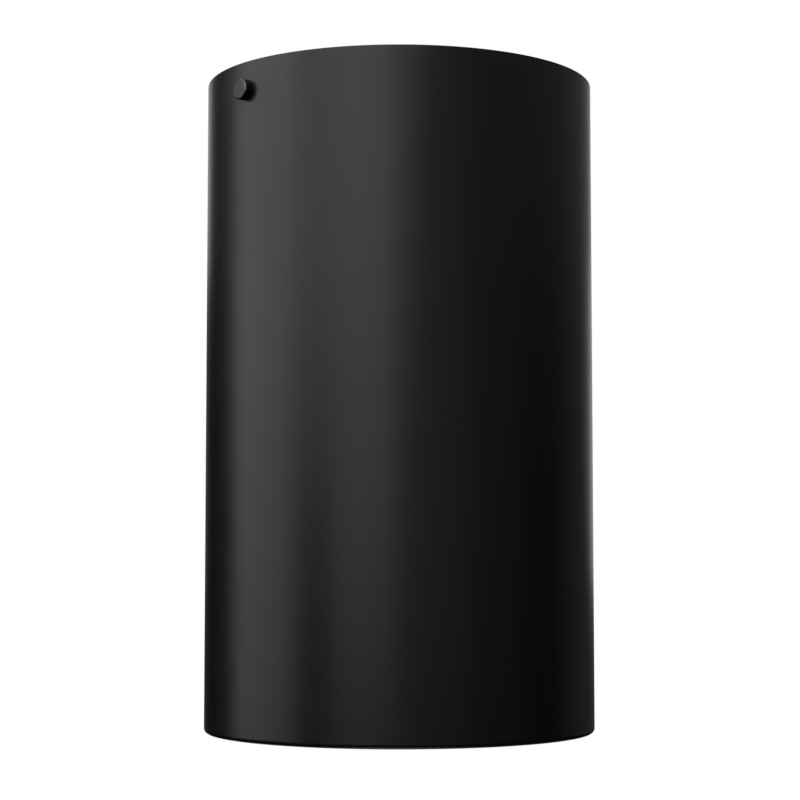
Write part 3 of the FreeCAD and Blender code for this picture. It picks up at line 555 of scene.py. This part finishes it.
def fit_piece(name, shape, node):
    """Makes a piece of a skin, puts it in its node's place and gives it that node's body and finish."""
    mesh = bpy.data.meshes.new(name)
    shape.to_mesh(mesh)
    shape.free()
    mesh.shade_smooth()
    mesh.set_sharp_from_angle(angle=SHARP_TURN)
    mesh.materials.append(finishes[slots[node]])
    piece = bpy.data.objects.new(name, mesh)
    bpy.context.scene.collection.objects.link(piece)
    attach(piece, body_of(node))
    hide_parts(node)
    return piece


def rod_along_x(radius, start_x, end_x, z):
    rod = bmesh.new()
    bmesh.ops.create_cone(
        rod, cap_ends=True, segments=SMALL_STEPS, radius1=radius, radius2=radius,
        depth=abs(end_x - start_x))
    bmesh.ops.rotate(rod, verts=rod.verts, matrix=Matrix.Rotation(math.pi / 2, 3, "Y"))
    bmesh.ops.translate(rod, verts=rod.verts, vec=((start_x + end_x) / 2, 0, z))
    return rod


def shade_tube():
    """The shade: a tube with a turned, rounded lower edge, a crisp top and a hole for each clinch nut."""
    radius = shade_high.x
    inner = radius - SHADE_WALL
    screw_z = (left_low.z + left_high.z) / 2
    shape = outline([
        (inner, shade_high.z, SHADE_TOP_INNER_ROUND),
        (radius, shade_high.z, SHADE_TOP_ROUND),
        (radius, shade_low.z, SHADE_LOWER_ROUND),
        (inner, shade_low.z, SHADE_LOWER_INNER_ROUND),
    ])
    # Rings two hole radii above and below the holes, so that only short faces of the wall are cut
    for side in (-1, 1):
        cut_level(shape, screw_z + side * 2 * CLINCH_HOLE_RADIUS)
    shape = turn_round(shape, SHADE_STEPS)
    drills = [
        rod_along_x(CLINCH_HOLE_RADIUS, side * (inner - SHADE_WALL), side * (radius + SHADE_WALL), screw_z)
        for side in (-1, 1)
    ]
    fit_piece("shade_tube", carved(shape, drills), "outer_shade")


def thumbscrew(side_name, side):
    """A thumbscrew turned from bar: a plain head with a fine chamfer, and an M3 thread on its stem."""
    low, high = box_of("thumbscrew_" + side_name)
    head_radius = (high.z - low.z) / 2
    length = high.x - low.x
    under_head = length - SCREW_HEAD_HEIGHT
    shape = outline([
        (0, 0),
        (SCREW_STEM_RADIUS - SCREW_TIP_CHAMFER, 0),
        (SCREW_STEM_RADIUS, SCREW_TIP_CHAMFER),
        (SCREW_STEM_RADIUS, under_head),
        (head_radius, under_head, SCREW_EDGE_ROUND),
        (head_radius, length - SCREW_HEAD_BEVEL, SCREW_EDGE_ROUND),
        (head_radius - SCREW_HEAD_BEVEL, length, SCREW_EDGE_ROUND),
        (0, length),
    ], closed=False)
    add_rings(shape, SCREW_STEM_RADIUS, SCREW_TIP_CHAMFER, under_head, SCREW_PITCH / RINGS_A_PITCH)
    shape = turn_round(shape, SMALL_STEPS)
    # The chamfer and its roundings get the worn finish, which is also a painted highlight, and the flat end
    # doesn't
    for face in shape.faces:
        if face.calc_center_median().z > length - SCREW_HEAD_WEAR_AND_HIGHLIGHT and face.normal.z < FLAT_FACE:
            face.material_index = 1
    sink_thread(
        shape, SCREW_STEM_RADIUS, SCREW_TIP_CHAMFER, under_head, SCREW_PITCH, SCREW_THREAD_DEPTH,
        rolled=False)
    bmesh.ops.rotate(shape, verts=shape.verts, matrix=Matrix.Rotation(side * math.pi / 2, 3, "Y"))
    tip_x = low.x if side > 0 else high.x
    bmesh.ops.translate(shape, verts=shape.verts, vec=(tip_x, 0, (low.z + high.z) / 2))
    piece = fit_piece("turned_thumbscrew_" + side_name, shape, "thumbscrew_" + side_name)
    # The second finish is the chamfer's paler worn finish, which is also a painted highlight
    piece.data.materials.append(chamfer_wear_and_painted_highlight)


def nipple():
    """The hollow nipple, cut with an M10 fine thread from end to end."""
    radius = nipple_high.x
    end_round = NIPPLE_THREAD_DEPTH / 2
    shape = outline([
        (NIPPLE_BORE_RADIUS, nipple_high.z, end_round),
        (radius, nipple_high.z, end_round),
        (radius, nipple_low.z, end_round),
        (NIPPLE_BORE_RADIUS, nipple_low.z, end_round),
    ])
    add_rings(shape, radius, nipple_low.z, nipple_high.z, NIPPLE_PITCH / RINGS_A_PITCH)
    shape = turn_round(shape, SMALL_STEPS)
    sink_thread(
        shape, radius, nipple_low.z, nipple_high.z, NIPPLE_PITCH, NIPPLE_THREAD_DEPTH, rolled=False)
    fit_piece("threaded_nipple", shape, "lampholder_nipple")


def lamp_thread():
    """The lamp's cap: thin sheet with a rolled thread on both its faces, plain above and below it."""
    radius = cap_high.x
    crown = LAMP_CROWN_RADIUS
    shoulder_z = cap_high.z - (radius - crown)
    sheet = LAMP_CAP_SHEET
    shape = outline([
        (crown, cap_high.z, sheet),
        (radius, shoulder_z, LAMP_SHOULDER_ROUND),
        (radius, cap_low.z),
        (radius - sheet, cap_low.z),
        (radius - sheet, shoulder_z - sheet / 2, LAMP_SHOULDER_INNER_ROUND),
        (crown - sheet / 2, cap_high.z - sheet),
    ])
    bottom = cap_low.z + LAMP_PLAIN_FOOT
    top = shoulder_z - LAMP_PLAIN_SHOULDER
    for face in (radius, radius - sheet):
        add_rings(shape, face, cap_low.z, shoulder_z, LAMP_PITCH / RINGS_A_ROLLED_PITCH)
    shape = turn_round(shape, LAMP_THREAD_STEPS)
    for face in (radius, radius - sheet):
        sink_thread(shape, face, bottom, top, LAMP_PITCH, LAMP_THREAD_DEPTH, rolled=True)
    fit_piece("lamp_cap_with_thread", shape, "lamp_screw_cap")


def shell_thread():
    """The lampholder's shell: the same thread, drawn shallow so that the lamp slides straight out of it,
    below the strip that touches the shell at the top."""
    inner = SHELL_INNER_RADIUS
    outer = inner + SHELL_SHEET
    ledge_z = shell_high.z - SHELL_SHEET
    bottom = shell_low.z + SHELL_PLAIN_FOOT
    top = ledge_z - SHELL_PLAIN_TOP
    shape = outline([
        (inner, shell_high.z, SHELL_LIP_ROUND),
        (shell_high.x, shell_high.z),
        (shell_high.x, ledge_z),
        (outer, ledge_z),
        (outer, shell_low.z),
        (inner, shell_low.z),
    ])
    for face in (inner, outer):
        add_rings(shape, face, shell_low.z, shell_high.z, LAMP_PITCH / RINGS_A_ROLLED_PITCH)
    shape = turn_round(shape, LAMP_THREAD_STEPS)
    for face in (inner, outer):
        sink_thread(shape, face, bottom, top, LAMP_PITCH, SHELL_THREAD_DEPTH, rolled=True)
    fit_piece("lampholder_thread", shape, "lampholder_screw_shell")


def holder_skirt():
    """The lampholder's skirt, moulded with flutes round its grip band that die away down the taper."""
    radius = skirt_high.x
    collar_top = skirt_high.z
    seat_radius = COLLAR_RADIUS - COLLAR_WALL
    band_top = collar_top - COLLAR_HEIGHT
    band_bottom = band_top - GRIP_HEIGHT
    taper_bottom = band_bottom - TAPER_HEIGHT
    ledge_z = shell_high.z - SHELL_SHEET
    sleeve = SLEEVE_BORE_RADIUS + SLEEVE_WALL
    shape = outline([
        (seat_radius, collar_top, COLLAR_INNER_ROUND),
        (COLLAR_RADIUS, collar_top, COLLAR_ROUND),
        (COLLAR_RADIUS, band_top),
        (radius, band_top, GRIP_TOP_ROUND),
        (radius, band_bottom, GRIP_LOWER_ROUND),
        (sleeve, taper_bottom, TAPER_FOOT_ROUND),
        (sleeve, skirt_low.z, SLEEVE_END_ROUND),
        (SLEEVE_BORE_RADIUS, skirt_low.z, SLEEVE_BORE_ROUND),
        (SLEEVE_BORE_RADIUS, ledge_z),
        (seat_radius, ledge_z),
    ])
    for level in range(1, TAPER_LEVELS):
        cut_level(shape, band_bottom + (taper_bottom - band_bottom) * level / TAPER_LEVELS)
    shape = turn_round(shape, GRIP_FLUTES * STEPS_A_FLUTE)
    for vert in shape.verts:
        reach = math.hypot(vert.co.x, vert.co.y)
        if reach < sleeve + CLOSE or vert.co.z > band_top + CLOSE:
            continue
        groove = 0.5 - 0.5 * math.cos(GRIP_FLUTES * math.atan2(vert.co.y, vert.co.x))
        depth = GRIP_DEPTH * groove * min(1.0, (reach - sleeve) / (radius - sleeve))
        vert.co.x *= 1 - depth / reach
        vert.co.y *= 1 - depth / reach
    fit_piece("fluted_lampholder_skirt", shape, "lampholder_skirt")


def lamp_shell():
    """The lamp's housing: a bottle-shaped moulding whose neck plugs into the cap, with a fine step where
    the globe snaps on. Its side is one smooth curve, drawn by four poles, and runs on from the globe's where
    they join."""
    neck = HOUSING_NECK_RADIUS
    join = globe_high.x * HOUSING_JOIN_SHARE
    neck_z = cap_low.z - HOUSING_NECK_GAP
    join_z = housing_low.z
    height = neck_z - join_z
    flare = HOUSING_FLARE_SHARE * height
    lean = math.sqrt(1 - HOUSING_JOIN_SHARE**2) / HOUSING_JOIN_SHARE
    poles = [
        Vector((neck, 0, neck_z)),
        Vector((neck, 0, neck_z - HOUSING_NECK_SHARE * height)),
        Vector((join - flare * lean, 0, join_z + flare)),
        Vector((join, 0, join_z)),
    ]
    curve = []
    for index in range(HOUSING_RINGS + 1):
        t = index / HOUSING_RINGS
        shares = ((1 - t)**3, 3 * t * (1 - t)**2, 3 * t**2 * (1 - t), t**3)
        point = sum((pole * share for pole, share in zip(poles, shares)), Vector())
        curve.append((point.x, point.z))
    step_radius = join - SNAP_STEP_DEPTH
    step = [(step_radius, join_z + SNAP_STEP_HEIGHT), (step_radius, join_z)]
    outside = [point for point in curve if point[1] > join_z + SNAP_STEP_EDGE] + step
    inside = [(x - HOUSING_WALL, z) for x, z in reversed(curve)]
    plug = HOUSING_PLUG_RADIUS
    plug_inner = plug - HOUSING_WALL
    shape = outline(
        [(plug, housing_high.z, HOUSING_PLUG_ROUND), (plug, neck_z)] + outside + inside
        + [(plug_inner, neck_z), (plug_inner, housing_high.z)])
    fit_piece("lamp_housing_shell", turn_round(shape, HOUSING_STEPS), "lamp_housing")


def earth_screw():
    """The earth screw: a zinc-plated pan head with a cross recess, and a washer under it."""
    x = (earth_low.x + earth_high.x) / 2
    y = (earth_low.y + earth_high.y) / 2
    washer = (earth_high.x - earth_low.x) / 2
    bottom = earth_low.z
    head_top = bottom + EARTH_HEAD_HEIGHT
    washer_top = head_top + EARTH_WASHER_SHEET
    shape = outline([
        (0, earth_high.z),
        (EARTH_STEM_RADIUS, earth_high.z, EARTH_STEM_ROUND),
        (EARTH_STEM_RADIUS, washer_top),
        (washer, washer_top, EARTH_WASHER_TOP_ROUND),
        (washer, head_top, EARTH_WASHER_ROUND),
        (EARTH_HEAD_RADIUS, head_top),
        (EARTH_HEAD_RADIUS, bottom, EARTH_HEAD_ROUND),
        (0, bottom),
    ], closed=False)
    shape = turn_round(shape, SMALL_STEPS)
    # Two crossed bars, each sunk to half its height and shorter at its deep end, cut the recess
    bars = []
    for length, width in ((RECESS_LENGTH, RECESS_WIDTH), (RECESS_WIDTH, RECESS_LENGTH)):
        bar = bmesh.new()
        bmesh.ops.create_cube(bar, size=1.0)
        bmesh.ops.scale(bar, verts=bar.verts, vec=(length, width, RECESS_HEIGHT))
        deep = [vert for vert in bar.verts if vert.co.z > 0]
        taper = (RECESS_DEEP_SHARE, 1, 1) if length > width else (1, RECESS_DEEP_SHARE, 1)
        bmesh.ops.scale(bar, verts=deep, vec=taper)
        bmesh.ops.translate(bar, verts=bar.verts, vec=(0, 0, bottom))
        bars.append(bar)
    shape = carved(shape, bars)
    bmesh.ops.translate(shape, verts=shape.verts, vec=(x, y, 0))
    fit_piece("earth_pan_head_screw", shape, "earth_screw")


shade_tube()
thumbscrew("left", -1)
thumbscrew("right", 1)
nipple()
lamp_thread()
shell_thread()
holder_skirt()
lamp_shell()
earth_screw()

# The solids' own meshes get their finishes too
for node, slot in slots.items():
    mesh = nodes[node].data
    mesh.materials.clear()
    mesh.materials.append(finishes[slot])


# The studio: a pale floor, a white surround, a soft lamp on the left and one high in front, and cards that
# only reflections see. Turns are in degrees from the camera towards its right, and rises in degrees from
# level. Most cards begin, meet or end at the rises CARD_FOOT, CARD_WAIST and CARD_HEAD.

VIEW_AZIMUTH = -40.7
FILL_LIGHT = 0.65
FLOOR_DEPTH = 1.6
FLOOR_SPAN = 16.0
FLOOR_LIFT = 0.45
CARD_DISTANCE = 5.0
CARD_FACET = 4.0
FEWEST_CARD_FACETS = 4
CARD_FOOT = -14
CARD_WAIST = 8
CARD_HEAD = 50
LOW_CARD_HOLE = 0.25
LOW_CARD_DEPTH = 1.1
BACK_CARD_START = 0.3
BACK_CARD_END = 2.0
BACK_CARD_DEPTH = 1.0
LAMP_DISTANCE = 3.0
middle = (cad_low + cad_high) / 2


def heading(turn, rise):
    """The direction from the light at a turn and a rise."""
    around = math.radians(VIEW_AZIMUTH + turn)
    up = math.radians(rise)
    return Vector((math.sin(around) * math.cos(up), -math.cos(around) * math.cos(up), math.sin(up)))


def seen_directly(tree):
    """One where a surface is seen itself, by reflection or through a clear piece, and otherwise zero."""
    path = add(tree, "ShaderNodeLightPath")
    direct = add(tree, "ShaderNodeMath", {"operation": "MAXIMUM"}, {
        0: path.outputs["Is Camera Ray"], 1: path.outputs["Is Glossy Ray"],
    })
    seen = add(tree, "ShaderNodeMath", {"operation": "MAXIMUM"}, {
        0: direct.outputs["Value"], 1: path.outputs["Is Transmission Ray"],
    })
    return seen.outputs["Value"]


def surround():
    """White to the camera and in reflections, and a plain soft light for everything else."""
    world = bpy.data.worlds.new("studio")
    bpy.context.scene.world = world
    world.use_nodes = True
    tree = world.node_tree
    tree.nodes.clear()
    seen = seen_directly(tree)
    soft = add(tree, "ShaderNodeBackground", {}, {"Color": WHITE, "Strength": FILL_LIGHT})
    white = add(tree, "ShaderNodeBackground", {}, {"Color": WHITE, "Strength": 1.0})
    mixed = add(tree, "ShaderNodeMixShader", {}, {
        0: seen, 1: soft.outputs["Background"], 2: white.outputs["Background"],
    })
    add(tree, "ShaderNodeOutputWorld", {}, {"Surface": mixed.outputs["Shader"]})


def stage_piece(name, shape, material):
    mesh = bpy.data.meshes.new(name)
    shape.to_mesh(mesh)
    shape.free()
    mesh.materials.append(material)
    made = bpy.data.objects.new(name, mesh)
    bpy.context.scene.collection.objects.link(made)
    return made


def lay_floor():
    """Pale paper that keeps the object's shadow, and is lifted to white where it is seen directly."""
    shape = bmesh.new()
    bmesh.ops.create_grid(shape, x_segments=1, y_segments=1, size=FLOOR_SPAN / 2)
    bmesh.ops.translate(shape, verts=shape.verts, vec=(0, 0, -FLOOR_DEPTH))
    material, tree = empty_finish("pale_paper_floor")
    paper = add(tree, "ShaderNodeBsdfDiffuse", {}, {"Color": linear("#F7F7F5")})
    lift = add(tree, "ShaderNodeMath", {"operation": "MULTIPLY"}, {0: seen_directly(tree), 1: FLOOR_LIFT})
    glow = add(tree, "ShaderNodeEmission", {}, {"Color": WHITE, "Strength": lift.outputs["Value"]})
    both = add(tree, "ShaderNodeAddShader", {}, {0: paper.outputs["BSDF"], 1: glow.outputs["Emission"]})
    add(tree, "ShaderNodeOutputMaterial", {}, {"Surface": both.outputs["Shader"]})
    stage_piece("floor", shape, material)


def hang_card(name, level, turn_from, turn_to, profile):
    """A curved card that only reflections see, its level in units in which 1 is white. Its profile is a
    list of distances and heights from the light's middle, spun between two turns."""
    shape = bmesh.new()
    start = heading(turn_from, 0)
    marks = []
    for distance, height in profile:
        marks.append(shape.verts.new(start * distance + Vector((0, 0, middle.z + height))))
    for here, there in zip(marks, marks[1:]):
        shape.edges.new((here, there))
    span = turn_to - turn_from
    facets = max(FEWEST_CARD_FACETS, round(span / CARD_FACET))
    bmesh.ops.spin(
        shape, geom=list(shape.verts) + list(shape.edges), cent=(0, 0, 0), axis=(0, 0, 1),
        angle=math.radians(span), steps=facets, use_merge=span == 360)
    material, tree = empty_finish(name)
    glow = add(tree, "ShaderNodeEmission", {}, {"Color": WHITE, "Strength": level})
    add(tree, "ShaderNodeOutputMaterial", {}, {"Surface": glow.outputs["Emission"]})
    card = stage_piece(name, shape, material)
    card.visible_camera = False
    card.visible_diffuse = False
    card.visible_shadow = False
    card.visible_transmission = False


def rising(rise):
    return CARD_DISTANCE, CARD_DISTANCE * math.tan(math.radians(rise))


def soft_lamp(name, turn, rise, wide, high, glow):
    """A flat soft lamp turned to the light, its width and height in degrees as seen from there, and its
    glow in units in which 1 is white."""
    data = bpy.data.lights.new(name, "AREA")
    data.shape = "RECTANGLE"
    data.size = 2 * LAMP_DISTANCE * math.tan(math.radians(wide / 2))
    data.size_y = 2 * LAMP_DISTANCE * math.tan(math.radians(high / 2))
    data.energy = glow * math.pi * data.size * data.size_y
    made = bpy.data.objects.new(name, data)
    bpy.context.scene.collection.objects.link(made)
    back = heading(turn, rise)
    made.location = middle + back * LAMP_DISTANCE
    made.rotation_euler = (-back).to_track_quat("-Z", "Y").to_euler()
    made.visible_camera = False


# The camera stands in front and to the left, a little above the shade's lower rim, and looks up slightly.
# Its place and lens were fitted to the shade's outline. FOCAL_PIXELS is its focal length and AXIS_PIXEL the
# column in which the shade's axis stands, both in pixels of an image that is IMAGE_PIXELS wide.

VIEW_PITCH = 4.209
VIEW_DISTANCE = 630.6 * MM
VIEW_ABOVE_RIM = 55.9 * MM
FOCAL_PIXELS = 2025.8
AXIS_PIXEL = 399.29
IMAGE_PIXELS = 800
SENSOR_WIDTH = 36.0
NEAREST_SEEN = 0.01
FARTHEST_SEEN = 100.0


def stand_camera():
    data = bpy.data.cameras.new("camera")
    data.sensor_width = SENSOR_WIDTH
    data.lens = SENSOR_WIDTH * FOCAL_PIXELS / IMAGE_PIXELS
    data.shift_x = (IMAGE_PIXELS / 2 - AXIS_PIXEL) / IMAGE_PIXELS
    data.clip_start = NEAREST_SEEN
    data.clip_end = FARTHEST_SEEN
    made = bpy.data.objects.new("camera", data)
    bpy.context.scene.collection.objects.link(made)
    level = heading(0, 0) * VIEW_DISTANCE
    made.location = (level.x, level.y, cad_low.z + VIEW_ABOVE_RIM)
    made.rotation_euler = (math.radians(90 + VIEW_PITCH), 0, math.radians(VIEW_AZIMUTH))
    bpy.context.scene.camera = made


surround()
lay_floor()
stand_camera()

hang_card("low_black_card", level=0.004, turn_from=0, turn_to=360, profile=[
    (LOW_CARD_HOLE, -LOW_CARD_DEPTH), (CARD_DISTANCE, -LOW_CARD_DEPTH), rising(CARD_FOOT),
])
hang_card("low_back_white_card", level=0.8, turn_from=158, turn_to=202, profile=[
    (BACK_CARD_START, -BACK_CARD_DEPTH), (BACK_CARD_END, -BACK_CARD_DEPTH),
])
# The others have a level, the turns between which they hang, and the rises of their two edges
for name, level, turn_from, turn_to, foot, head in (
    ("front_left_black_card", 0.01, -62, -38, CARD_FOOT, 1),
    ("upper_front_left_grey_card", 0.7, -62, -40, CARD_WAIST, CARD_HEAD),
    ("front_black_card", 0.01, -38, -3, CARD_FOOT, -9),
    ("front_right_grey_card", 0.22, -3, 40, CARD_FOOT, 25),
    ("upper_front_right_grey_card", 0.16, -3, 40, 25, CARD_HEAD),
    ("right_dark_grey_card", 0.085, 40, 73, CARD_FOOT, CARD_WAIST),
    ("right_black_card", 0.01, 73, 108, CARD_FOOT, CARD_WAIST),
    ("back_right_dark_grey_card", 0.07, 108, 140, CARD_FOOT, CARD_WAIST),
    ("low_back_right_dark_grey_card", 0.045, 140, 153, CARD_FOOT, -1),
    ("back_right_rim_card", 0.2, 140, 153, -1, CARD_WAIST),
    ("right_grey_card", 0.14, 40, 143, CARD_WAIST, CARD_HEAD),
    ("upper_back_right_rim_card", 0.25, 143, 158, CARD_WAIST, CARD_HEAD),
    ("back_dark_grey_card", 0.08, 153, 204, CARD_FOOT, -2),
    ("back_left_rim_card", 0.2, 183, 204, -2, CARD_WAIST),
    ("back_left_black_card", 0.01, 204, 250.5, CARD_FOOT, CARD_WAIST),
    ("back_left_dark_grey_card", 0.08, 207, 252, CARD_WAIST, CARD_HEAD),
):
    hang_card(name, level, turn_from, turn_to, [rising(foot), rising(head)])

soft_lamp("left_softbox", turn=-92.5, rise=16, wide=45, high=30, glow=0.455)
soft_lamp("high_front_softbox", turn=-32.5, rise=33, wide=85, high=54, glow=0.54)
bpy.context.scene.view_settings.view_transform = "Standard"
